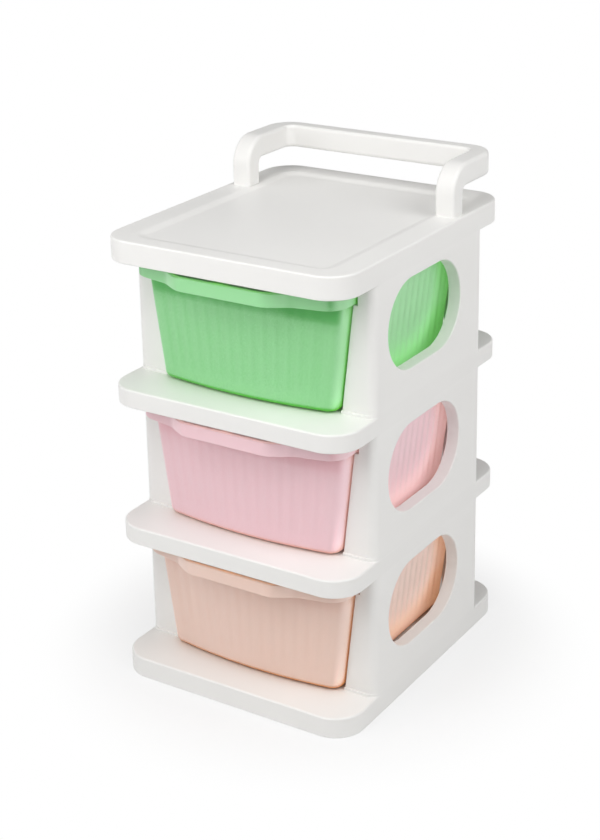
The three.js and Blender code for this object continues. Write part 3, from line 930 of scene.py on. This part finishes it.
    def tray(self) -> Solid:
        """The shallow recess in the top plate, with softly sloping sides."""
        lay = self.layout
        side_ledge, front_ledge, rear_ledge = self.tray_ledges
        edge = rectangle(
            -lay.side + side_ledge, lay.low.y + front_ledge,
            lay.side - side_ledge, lay.high.y - rear_ledge, self.tray_radius, self.tray_corner_steps)
        rings: list[Ring] = []
        for step in range(self.tray_steps + 1):
            share = step / self.tray_steps
            drop = self.tray_depth * (1 + math.cos(math.pi * share)) / 2
            rings.append(upright(inset(edge, self.tray_slope * (1 - share)), self.face - drop))
        rings.append(upright(edge, self.face + self.overrun))
        return Solid.from_rings(rings)

    def build(self) -> Object:
        """Makes and dresses the plate.

        Returns:
            The piece.
        """
        lay = self.layout
        body = self.slab()
        is_top = self.level is Level.TOP
        ceiling = self.face - lay.wall - (self.tray_depth if is_top else 0)
        if is_top:
            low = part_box("carry_handle")[0].z - MM
            body.cut(self.tray(), CarryHandle(lay).pegs(CLEARANCE, low, self.face + self.overrun))
        body.cut(self.hollow(ceiling))
        body.add(self.rib_tree.ribs(self.rib_boxes(ceiling), WHITE).keep(self.core(ceiling)))
        if not is_top:
            self.seat(body)
            body.cut(*self.slots(ceiling - self.overrun, self.box[1].z + self.overrun))
        return finish_piece(body, f"{self.level.value}_moulding", WHITE, "frame", self.level.value)

    def core(self, ceiling: float) -> Solid:
        """The region that the ribs may fill, from the plate's foot to just inside its skin."""
        half = self.layout.wall / 2
        corners = inset(self.layout.plan(), half)
        return Solid.between(corners, self.box[0].z, ceiling + half)


@dataclass
class SidePanel:
    """A side panel: a channel section with a stadium window and its collar."""

    layout: Layout
    tier: Tier
    side: Side
    skin: float = 2.5 * MM
    flange: float = 2.8 * MM
    end_wall: float = 2.5 * MM
    lip_radius: float = 1.0 * MM
    inner_foot: float = 73.85 * MM
    inner_notch_floor: float = 83.35 * MM
    notch_height: float = 79.4 * MM
    notch_rise: float = 0.01 * MM
    notch: float = 86.7 * MM
    rear_reach: float = 31 * MM
    window_length: float = 105.5 * MM
    window_height: float = 66.5 * MM
    window_sill: float = 20.6 * MM
    window_margin: float = 19 * MM
    collar: float = 2 * MM
    mouth: float = 1.1 * MM
    inner_mouth_share: float = 0.35
    mouth_steps: int = 6
    window_steps: int = 24
    inside_steps: int = 8
    lip_steps: int = 4
    hair: float = 1e-6

    def section(self, inner: float) -> list[Corner]:
        """Plan of the panel where the front flange's inner edge is at a given x."""
        lay = self.layout
        inside = (lay.panel_radius - self.skin, self.inside_steps)
        lip = (self.lip_radius, self.lip_steps)
        side, front, rear = lay.side, lay.panel_front, lay.panel_rear
        back = side - self.rear_reach
        return [
            Corner(inner, front, *lip),
            Corner(side, front, lay.panel_radius, lay.panel_steps),
            Corner(side, rear, lay.panel_radius, lay.panel_steps),
            Corner(back, rear, *lip),
            Corner(back, rear - self.flange, *lip),
            Corner(side - self.skin, rear - self.flange, *inside),
            Corner(side - self.skin, front + self.flange, *inside),
            Corner(inner, front + self.flange, *lip),
        ]

    def stadium(self, x: float, grow: float) -> Ring:
        """Outline of the window, grown by a distance, in the plane of a given x."""
        lay = self.layout
        floor = lay.floor_of(self.tier)
        front = lay.panel_front + self.window_margin - grow
        rear = lay.panel_front + self.window_margin + self.window_length + grow
        low = floor + self.window_sill - grow
        high = floor + self.window_sill + self.window_height + grow
        radius = self.window_height / 2 + grow - self.hair
        outline = rounded(rectangle(front, low, rear, high, radius, self.window_steps))
        return [Vector((x, p.x, p.y)) for p in outline]

    def window_cutter(self) -> Solid:
        """The window's opening, with a bevelled inner mouth and a rounded outer one."""
        side = self.layout.side
        inner = side - self.layout.panel_return
        bevel = self.collar * self.inner_mouth_share
        rings = [self.stadium(inner - MM, bevel)]
        for sine, _ in turned(self.mouth_steps):
            rings.append(self.stadium(inner + bevel * sine, bevel * (1 - sine)))
        for sine, cosine in turned(self.mouth_steps):
            rings.append(self.stadium(side - self.mouth * (1 - sine), self.mouth * (1 - cosine)))
        rings.append(self.stadium(side + MM, self.mouth))
        return Solid.from_rings(rings)

    def build(self) -> Object:
        """Makes and dresses the panel.

        Returns:
            The piece.
        """
        lay = self.layout
        floor, roof = lay.floor_of(self.tier), lay.roof_of(self.tier)
        foot = floor + lay.plinth
        notch_floor = floor + self.notch_height
        notch_level = notch_floor + self.notch_rise
        body = Solid.from_rings([
            upright(self.section(inner), z) for inner, z in (
                (self.inner_foot, foot), (self.inner_notch_floor, notch_floor),
                (self.notch, notch_level), (self.notch, roof))
        ])
        inner = lay.side - lay.panel_return
        near = lay.panel_front + self.flange / 2
        far = lay.panel_rear - self.flange / 2
        outer = lay.side - self.skin / 2
        bend = (lay.panel_radius - self.skin / 2, self.inside_steps)
        end = [
            Corner(outer, far, *bend), Corner(inner, far),
            Corner(inner, near), Corner(outer, near, *bend),
        ]
        for level in (foot, roof - self.end_wall):
            body.add(Solid.between(end, level, level + self.end_wall))
        body.add(Solid.from_rings([self.stadium(inner, self.collar), self.stadium(outer, self.collar)]))
        body.cut(self.window_cutter())
        body.add(*self.tabs(foot, roof))
        if self.side is Side.LEFT:
            twin = body.mirror_copy()
            body.discard()
            body = twin
        name = f"{self.tier.value}_panel_{self.side.name.lower()}"
        return finish_piece(body, f"{name}_moulding", WHITE, "frame", name)

    def tabs(self, foot: float, roof: float) -> list[Solid]:
        """The square tabs at both ends of the panel."""
        lay = self.layout
        outer = lay.side - lay.wall - CLEARANCE
        inner = outer - lay.channel + 2 * CLEARANCE
        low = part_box(f"{self.tier.value}_panel_right")[0].z
        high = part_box(f"{self.tier.value}_panel_right")[1].z
        made = []
        for middle in lay.tabs:
            near, far = middle - lay.tab_length / 2, middle + lay.tab_length / 2
            made.append(Solid.box((inner, near, low), (outer, far, foot + MM)))
            made.append(Solid.box((inner, near, roof - MM), (outer, far, high)))
        return made


@dataclass
class CarryHandle:
    """The fixed handle: two posts, two arms and a rear bar in one moulding."""

    layout: Layout
    width: float = 15.7 * MM
    post_depth: float = 15.2 * MM
    bar_height: float = 17.6 * MM
    bar_depth: float = 12 * MM
    post_inset: float = 75.5 * MM
    rear_inset: float = 5.2 * MM
    side_inset: float = 4.2 * MM
    bend: float = 13.5 * MM
    corner: float = 13.5 * MM
    edge: float = 2.6 * MM
    peg: float = 8 * MM
    steps: int = 14
    edge_steps: int = 6

    @property
    def post_middle(self) -> Vector:
        """Middle of the right post in plan."""
        lay = self.layout
        x = lay.side - self.side_inset - self.width / 2
        return Vector((x, lay.high.y - self.post_inset + self.post_depth / 2))

    def pegs(self, gap: float, low: float, high: float) -> Solid:
        """The square pegs under both posts, or cutters for their slots when grown by a gap."""
        x, y = self.post_middle
        reach = self.peg / 2 + gap
        return Solid.box((x - reach, y - reach, low), (x + reach, y + reach, high)).with_mirror()

    def stations(self) -> list[tuple[Vector, Vector, Vector]]:
        """Middle of the bar and its two section directions along the right half."""
        lay = self.layout
        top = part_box("carry_handle")[1].z
        x, y = self.post_middle
        rear = lay.high.y - self.rear_inset - self.bar_depth / 2
        crown = top - self.bar_height / 2
        growth = self.bar_height / self.post_depth
        slimming = self.bar_depth / self.width
        inwards = Vector((-1, 0, 0))
        made = [(Vector((x, y, lay.high.z)), inwards, Vector((0, -1, 0)))]
        for step in range(self.steps + 1):
            share = step / self.steps
            angle = QUARTER * share
            forwards, upwards = self.bend * (1 - math.cos(angle)), self.bend * (1 - math.sin(angle))
            over = Vector((0, -math.cos(angle), math.sin(angle))) * (1 + (growth - 1) * share)
            made.append((Vector((x, y + forwards, crown - upwards)), inwards, over))
        for step in range(self.steps + 1):
            share = step / self.steps
            angle = QUARTER * share
            aside, behind = self.corner * (1 - math.cos(angle)), self.corner * (1 - math.sin(angle))
            across = Vector((-math.cos(angle), -math.sin(angle), 0)) * (1 + (slimming - 1) * share)
            made.append((Vector((x - aside, rear - behind, crown)), across, Vector((0, 0, growth))))
        return made

    def build(self) -> Object:
        """Makes and dresses the handle.

        Returns:
            The piece.
        """
        half = self.stations()
        flip = Matrix.Diagonal((-1, 1, 1))
        other = [(flip @ place, flip @ across, over) for place, across, over in reversed(half)]
        wide, deep = self.width / 2, self.post_depth / 2
        section = rounded(rectangle(-wide, -deep, wide, deep, self.edge, self.edge_steps))
        rings = [
            [place + across * p.x + over * p.y for p in section]
            for place, across, over in half + other
        ]
        body = Solid.from_rings(rings)
        body.add(self.pegs(0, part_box("carry_handle")[0].z, self.layout.high.z + self.post_depth / 2))
        return finish_piece(body, "carry_handle_moulding", WHITE, "frame", "carry_handle")


def eased(value: float, soft: float = 0.3) -> float:
    """A ramp from 0 to 1 with a straight middle and rounded ends.

    Args:
        value: Where along the ramp, from 0 to 1.
        soft: Share of the ramp that each rounded end takes.

    Returns:
        The height of the ramp.
    """
    at = max(0.0, min(1.0, value))
    if at < soft:
        return at * at / (2 * soft * (1 - soft))
    if at > 1 - soft:
        return 1 - (1 - at) ** 2 / (2 * soft * (1 - soft))
    return (at - soft / 2) / (1 - soft)


@dataclass
class WallPoint:
    """A point of a drawer's outline: its place, and how the flutes reach it."""

    place: Vector
    along: float = 0.0
    amount: float = 0.0
    outwards: Vector = field(default_factory=lambda: Vector((0, 0, 0)))


@dataclass
class Drawer:
    """A tapered tub with fluted walls, a bowed front and a rim turned down into a finger lip."""

    layout: Layout
    tier: Tier
    finish: Plastic
    flute_tree: FluteTree
    foot_half: float = 72.8 * MM
    top_half: float = 83.9 * MM
    front_inset: float = 31.7 * MM
    lean: float = 2.5 * MM
    bow: float = 5.5 * MM
    rear_lean: float = 4 * MM
    wall: float = 2 * MM
    floor: float = 2 * MM
    radius: float = 9 * MM
    foot_radius: float = 4 * MM
    inner_foot_radius: float = 2.5 * MM
    overhang: float = 1.9 * MM
    rim_wall: float = 1.6 * MM
    rim_thickness: float = 2 * MM
    rim_edge: float = 2 * MM
    skirt: float = 10.8 * MM
    rim_inset: float = 16.8 * MM
    rim_slope: float = 0.2
    rim_radius: float = 16 * MM
    rim_rear_radius: float = 10 * MM
    lip_inset: float = 2.8 * MM
    lip_half: float = 31.1 * MM
    lip_shoulder: float = 54.2 * MM
    lip_softness: float = 0.28
    inner_edge: float = 0.8 * MM
    flute_pitch: float = 8.6 * MM
    flute_depth: float = 0.45 * MM
    flute_foot: float = 5 * MM
    flute_rise: float = 16 * MM
    flute_fall: float = 12 * MM
    flute_run: float = 6 * MM
    front_flute_share: float = 1.1
    side_points: int = 150
    front_points: int = 150
    rear_points: int = 24
    corner_points: int = 12
    levels: int = 22
    bend_steps: int = 6
    rim_steps: int = 8
    inner_edge_steps: int = 4

    @property
    def box(self) -> tuple[Vector, Vector]:
        """Corners of the drawer's own node."""
        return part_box(f"{self.tier.value}_drawer")

    def share(self, z: float) -> float:
        """Height over the drawer's foot, as a share of its whole height."""
        low, high = self.box
        return (z - low.z) / (high.z - low.z)

    def flute_fade(self, z: float) -> float:
        """How much of a flute shows at a height."""
        low, high = self.box
        rise = (z - low.z - self.flute_foot) / self.flute_rise
        fall = (high.z - self.skirt / 2 - z) / self.flute_fall
        return eased(rise) * eased(fall)

    def ring(self, half: float, rear: float, front: float, radius: float, rear_radius: float,
             front_line: Callable[[float], float], slope: float, z: float) -> list[WallPoint]:
        """One outline of the drawer, with its points in a fixed order.

        Args:
            half: Half its width.
            rear: Its rear.
            front: Its front, at the ends of the front line, as a distance from the middle.
            radius: Radius of the front corners.
            rear_radius: Radius of the rear corners.
            front_line: How far the front stands out beyond that, by x.
            slope: Angle of the front line at its ends.
            z: Its height.

        Returns:
            The points, anticlockwise from the right side's front end.
        """
        points: list[WallPoint] = []
        sweep = QUARTER - slope
        centre_y = -front + radius * math.cos(slope)
        side_low, side_high = centre_y, rear - rear_radius
        end = half - radius + radius * math.sin(slope)
        side_length = side_high - side_low

        def side_run(sign: int) -> None:
            """Adds the interior points of one side."""
            for k in range(1, self.side_points):
                share = k / self.side_points
                if sign < 0:
                    share = 1 - share
                y = side_low + side_length * share
                amount = eased(min(share, 1 - share) * side_length / self.flute_run)
                points.append(WallPoint(Vector((sign * half, y, z)), y, amount, Vector((sign, 0, 0))))

        def arc(cx: float, cy: float, size: float, start: float, turn: float) -> None:
            """Adds a rounded corner, both ends included."""
            for k in range(self.corner_points + 1):
                angle = start + turn * k / self.corner_points
                place = Vector((cx + size * math.cos(angle), cy + size * math.sin(angle), z))
                points.append(WallPoint(place))

        side_run(1)
        across = half - rear_radius
        arc(across, rear - rear_radius, rear_radius, 0, QUARTER)
        for k in range(1, self.rear_points):
            points.append(WallPoint(Vector((across - 2 * across * k / self.rear_points, rear, z))))
        arc(-across, rear - rear_radius, rear_radius, QUARTER, QUARTER)
        side_run(-1)
        arc(-half + radius, centre_y, radius, math.pi, sweep)
        for k in range(1, self.front_points):
            share = k / self.front_points
            x = -end + 2 * end * share
            nominal = (share - 0.5) * 2 * (self.foot_half - self.radius)
            amount = self.front_flute_share * eased(min(share, 1 - share) * 2 * end / self.flute_run)
            place = Vector((x, -front - front_line(x / end), z))
            points.append(WallPoint(place, nominal, amount, Vector((0, -1, 0))))
        arc(half - radius, centre_y, radius, -QUARTER + slope, sweep)
        return points

    def tub_ring(self, z: float, inwards: float) -> list[WallPoint]:
        """The tub's outline at a height, moved inwards by a distance."""
        share = self.share(z)
        half = self.foot_half + (self.top_half - self.foot_half) * share - inwards
        rear = self.box[1].y - self.overhang - self.rear_lean * (1 - share) - inwards
        front = -self.layout.low.y - self.front_inset + self.lean * share - inwards
        radius = max(self.radius - inwards, MM)
        slope = math.atan(2 * self.bow / (half - radius))
        ring = self.ring(half, rear, front, radius, radius, lambda q: self.bow * (1 - q * q), slope, z)
        fade = self.flute_fade(z)
        for point in ring:
            point.amount *= fade
        return ring

    def rim_ring(self, z: float, inwards: float) -> list[WallPoint]:
        """The rim's outline at a height, moved inwards by a distance."""
        half = self.box[1].x
        slope = math.atan(self.rim_slope)
        end = half - self.rim_radius * (1 - math.sin(slope))

        def line(q: float) -> float:
            """How far the rim's front stands out, towards the finger lip."""
            x = abs(q) * end
            base = self.rim_slope * (end - x)
            climb = (self.lip_shoulder - x) / (self.lip_shoulder - self.lip_half)
            return base + (self.rim_inset - self.lip_inset - base) * eased(climb, self.lip_softness)

        front = -self.layout.low.y - self.rim_inset
        rear = self.box[1].y
        ring = self.ring(half, rear, front, self.rim_radius, self.rim_rear_radius, line, slope, z)
        places = [point.place for point in ring]
        for k, point in enumerate(ring):
            point.amount = 0.0
            if inwards:
                along = places[(k + 1) % len(ring)] - places[k - 1]
                point.place = places[k] + Vector((-along.y, along.x, 0)).normalized() * inwards
        return ring

    def rings(self) -> list[list[WallPoint]]:
        """All the outlines, from the middle of the underside round the rim to the drawer's floor."""
        low, high = self.box[0].z, self.box[1].z
        under = high - self.rim_thickness
        steps = range(1, self.levels + 1)

        bend = self.foot_radius
        made = [self.tub_ring(low + bend * (1 - c), bend * (1 - s)) for s, c in turned(self.bend_steps)]
        start = low + bend
        made += [self.tub_ring(start + (under - start) * step / self.levels, 0) for step in steps]

        made.append(self.rim_ring(under, self.rim_wall))
        half = self.rim_wall / 2
        bottom = high - self.skirt
        bends = turned(self.bend_steps, 0, math.pi)
        made += [self.rim_ring(bottom + half * (1 - s), half * (1 + c)) for s, c in bends]
        bend = self.rim_edge
        made += [self.rim_ring(high - bend * (1 - s), bend * (1 - c)) for s, c in turned(self.rim_steps)]

        bend = self.inner_edge
        bends = turned(self.inner_edge_steps)
        made += [self.tub_ring(high - bend * (1 - c), self.wall - bend * (1 - s)) for s, c in bends]
        top = high - bend
        bend = self.inner_foot_radius
        foot = low + self.floor + bend
        made += [self.tub_ring(top + (foot - top) * step / self.levels, self.wall) for step in steps]
        bends = turned(self.bend_steps, 1)
        made += [self.tub_ring(foot - bend * s, self.wall + bend * (1 - c)) for s, c in bends]
        return made

    def build(self) -> Object:
        """Makes, flutes and dresses the drawer.

        Returns:
            The piece.
        """
        rings = self.rings()
        body = Solid.from_rings([[point.place for point in ring] for ring in rings])
        points = [point for ring in rings for point in ring]
        marks = {
            FluteTree.ALONG: ("FLOAT", "value", [point.along for point in points]),
            FluteTree.AMOUNT: ("FLOAT", "value", [point.amount for point in points]),
            FluteTree.OUTWARDS: (
                "FLOAT_VECTOR", "vector", [value for point in points for value in point.outwards]),
        }
        for mark, (kind, key, values) in marks.items():
            body.obj.data.attributes.new(mark, kind, "POINT").data.foreach_set(key, values)
        self.flute_tree.apply(body, self.finish, {"Pitch": self.flute_pitch, "Depth": self.flute_depth})
        for mark in marks:
            body.obj.data.attributes.remove(body.obj.data.attributes[mark])
        name = f"{self.tier.value}_drawer"
        return finish_piece(body, f"{name}_tub", self.finish, f"drawer_{self.tier.value}", name)


@dataclass(frozen=True)
class SoftLamp:
    """A square studio lamp that faces a point of the cabinet."""

    name: str
    place: Triple
    aim: Triple
    size: float
    watts: float

    def hang(self) -> None:
        """Puts the lamp into the scene."""
        data = bpy.data.lights.new(self.name, "AREA")
        data.shape = "SQUARE"
        data.size = self.size
        data.energy = self.watts
        lamp = new_object(self.name, data)
        lamp.location = self.place
        lamp.rotation_euler = (Vector(self.aim) - Vector(self.place)).to_track_quat("-Z", "Y").to_euler()


@dataclass
class Studio:
    """The floor, the surroundings, the lamps and the camera, fitted to the photograph."""

    azimuth: float = math.radians(32.27)
    elevation: float = math.radians(17.92)
    roll: float = math.radians(-0.89)
    distance: float = 1277.76 * MM
    aside: float = 4.18 * MM
    aim_height: float = 301.45 * MM
    focal_pixels: float = 1750.85
    frame_width: float = 600.0
    frame_height: float = 840.0
    centre: tuple[float, float] = (315.0, 268.8)
    sensor: float = 36.0
    surroundings: float = 0.241
    floor_size: float = 24.0
    floor_white: float = 0.80
    floor_shadow: float = 0.34
    floor_clear: Pair = (0.12, 0.22)

    def camera(self) -> None:
        """Puts the camera where the photograph was taken from."""
        a, e = self.azimuth, self.elevation
        back = Vector((math.sin(a) * math.cos(e), -math.cos(a) * math.cos(e), math.sin(e)))
        right = Vector((math.cos(a), math.sin(a), 0))
        up = back.cross(right)
        turned_right = right * math.cos(self.roll) + up * math.sin(self.roll)
        turned_up = -right * math.sin(self.roll) + up * math.cos(self.roll)
        place = right * self.aside + Vector((0, 0, self.aim_height)) + back * self.distance
        data = bpy.data.cameras.new("camera")
        data.sensor_width = self.sensor
        data.lens = self.focal_pixels / self.frame_height * self.sensor
        data.shift_x = (self.frame_width / 2 - self.centre[0]) / self.frame_height
        data.shift_y = (self.centre[1] - self.frame_height / 2) / self.frame_height
        camera = new_object("camera", data)
        axes = Matrix((turned_right, turned_up, back)).transposed()
        camera.matrix_world = Matrix.Translation(place) @ axes.to_4x4()
        bpy.context.scene.camera = camera

    def world(self) -> None:
        """Even pale surroundings, plain white to the camera."""
        world = bpy.data.worlds.new("surroundings")
        bpy.context.scene.world = world
        world.use_nodes = True
        graph = Graph(world.node_tree)
        graph.nodes.clear()
        path = graph.node("ShaderNodeLightPath").outputs
        seen = graph.maths("MAXIMUM", path["Is Camera Ray"], path["Is Transmission Ray"])
        light, white = [
            graph.socket("ShaderNodeBackground", "Background", {"Color": WHITE_LIGHT, "Strength": level})
            for level in (self.surroundings, 1.0)
        ]
        graph.end("ShaderNodeOutputWorld", seen, light, white)

    def floor(self) -> None:
        """A plain white floor that keeps a soft shadow near the cabinet and is white farther off."""
        half = self.floor_size / 2
        corners = [(-half, -half, 0), (half, -half, 0), (half, half, 0), (-half, half, 0)]
        mesh = bpy.data.meshes.new("floor")
        mesh.from_pydata(corners, [], [(0, 1, 2, 3)])
        floor = new_object("floor", mesh)
        floor.data.materials.append(self.floor_material())

    def floor_material(self) -> bpy.types.Material:
        """The floor's material: partly matte near the cabinet, plain white to the camera beyond."""
        made = bpy.data.materials.new("white_floor")
        made.use_nodes = True
        graph = Graph(made.node_tree)
        graph.nodes.clear()
        matte = graph.socket("ShaderNodeBsdfDiffuse", "BSDF", {"Color": (*[self.floor_white] * 3, 1)})
        white = graph.socket("ShaderNodeEmission", "Emission", {"Color": WHITE_LIGHT, "Strength": 1.0})
        place = graph.socket("ShaderNodeTexCoord", "Object")
        reach = graph.vector("LENGTH", {0: place}, "Value")
        away = graph.between(reach, self.floor_clear, low=1 - self.floor_shadow)
        path = graph.node("ShaderNodeLightPath").outputs
        seen = graph.maths("MAXIMUM", path["Is Camera Ray"], path["Is Glossy Ray"])
        graph.end("ShaderNodeOutputMaterial", graph.maths("MULTIPLY", away, seen), matte, white)
        return made

    def lamps(self) -> Iterable[SoftLamp]:
        """The lamps: one overhead, two in front, two at the right, a small one near and one behind."""
        middle = (0.0, 0.0, 0.18)
        yield SoftLamp("lamp_over", (0.0, -0.6, 1.3), middle, 0.8, 5.2)
        yield SoftLamp("lamp_front", (0.0, -0.85, 0.95), middle, 0.6, 1.9)
        yield SoftLamp("lamp_low", (1.2, -0.3, 0.3), middle, 0.8, 1.2)
        yield SoftLamp("lamp_right", (0.9, -0.1, 0.95), middle, 0.7, 5.1)
        yield SoftLamp("lamp_left", (-0.75, -0.9, 0.6), middle, 0.7, 3.28)
        yield SoftLamp("lamp_near", (-0.03, -0.5, 0.37), (0.0, -0.1, 0.33), 0.25, 0.19)
        yield SoftLamp("lamp_rear", (0.6, 1.2, 0.35), middle, 0.8, 1.4)

    def build(self) -> None:
        """Sets up the whole studio."""
        bpy.context.scene.view_settings.view_transform = "Standard"
        self.world()
        self.floor()
        for lamp in self.lamps():
            lamp.hang()
        self.camera()


def main() -> None:
    """Builds the studio, then each piece of the cabinet in order."""
    logging.basicConfig(level=logging.INFO, format="%(name)s: %(message)s")
    Studio().build()
    layout = Layout()
    rib_tree = RibTree()
    flute_tree = FluteTree()
    for level in Level:
        Plate(layout, level, rib_tree).build()
    for tier in Tier:
        for side in Side:
            SidePanel(layout, tier, side).build()
    CarryHandle(layout).build()
    for tier, finish in ((Tier.BOTTOM, PEACH), (Tier.MIDDLE, PINK), (Tier.TOP, GREEN)):
        Drawer(layout, tier, finish, flute_tree).build()


if __name__ == "__main__":
    main()
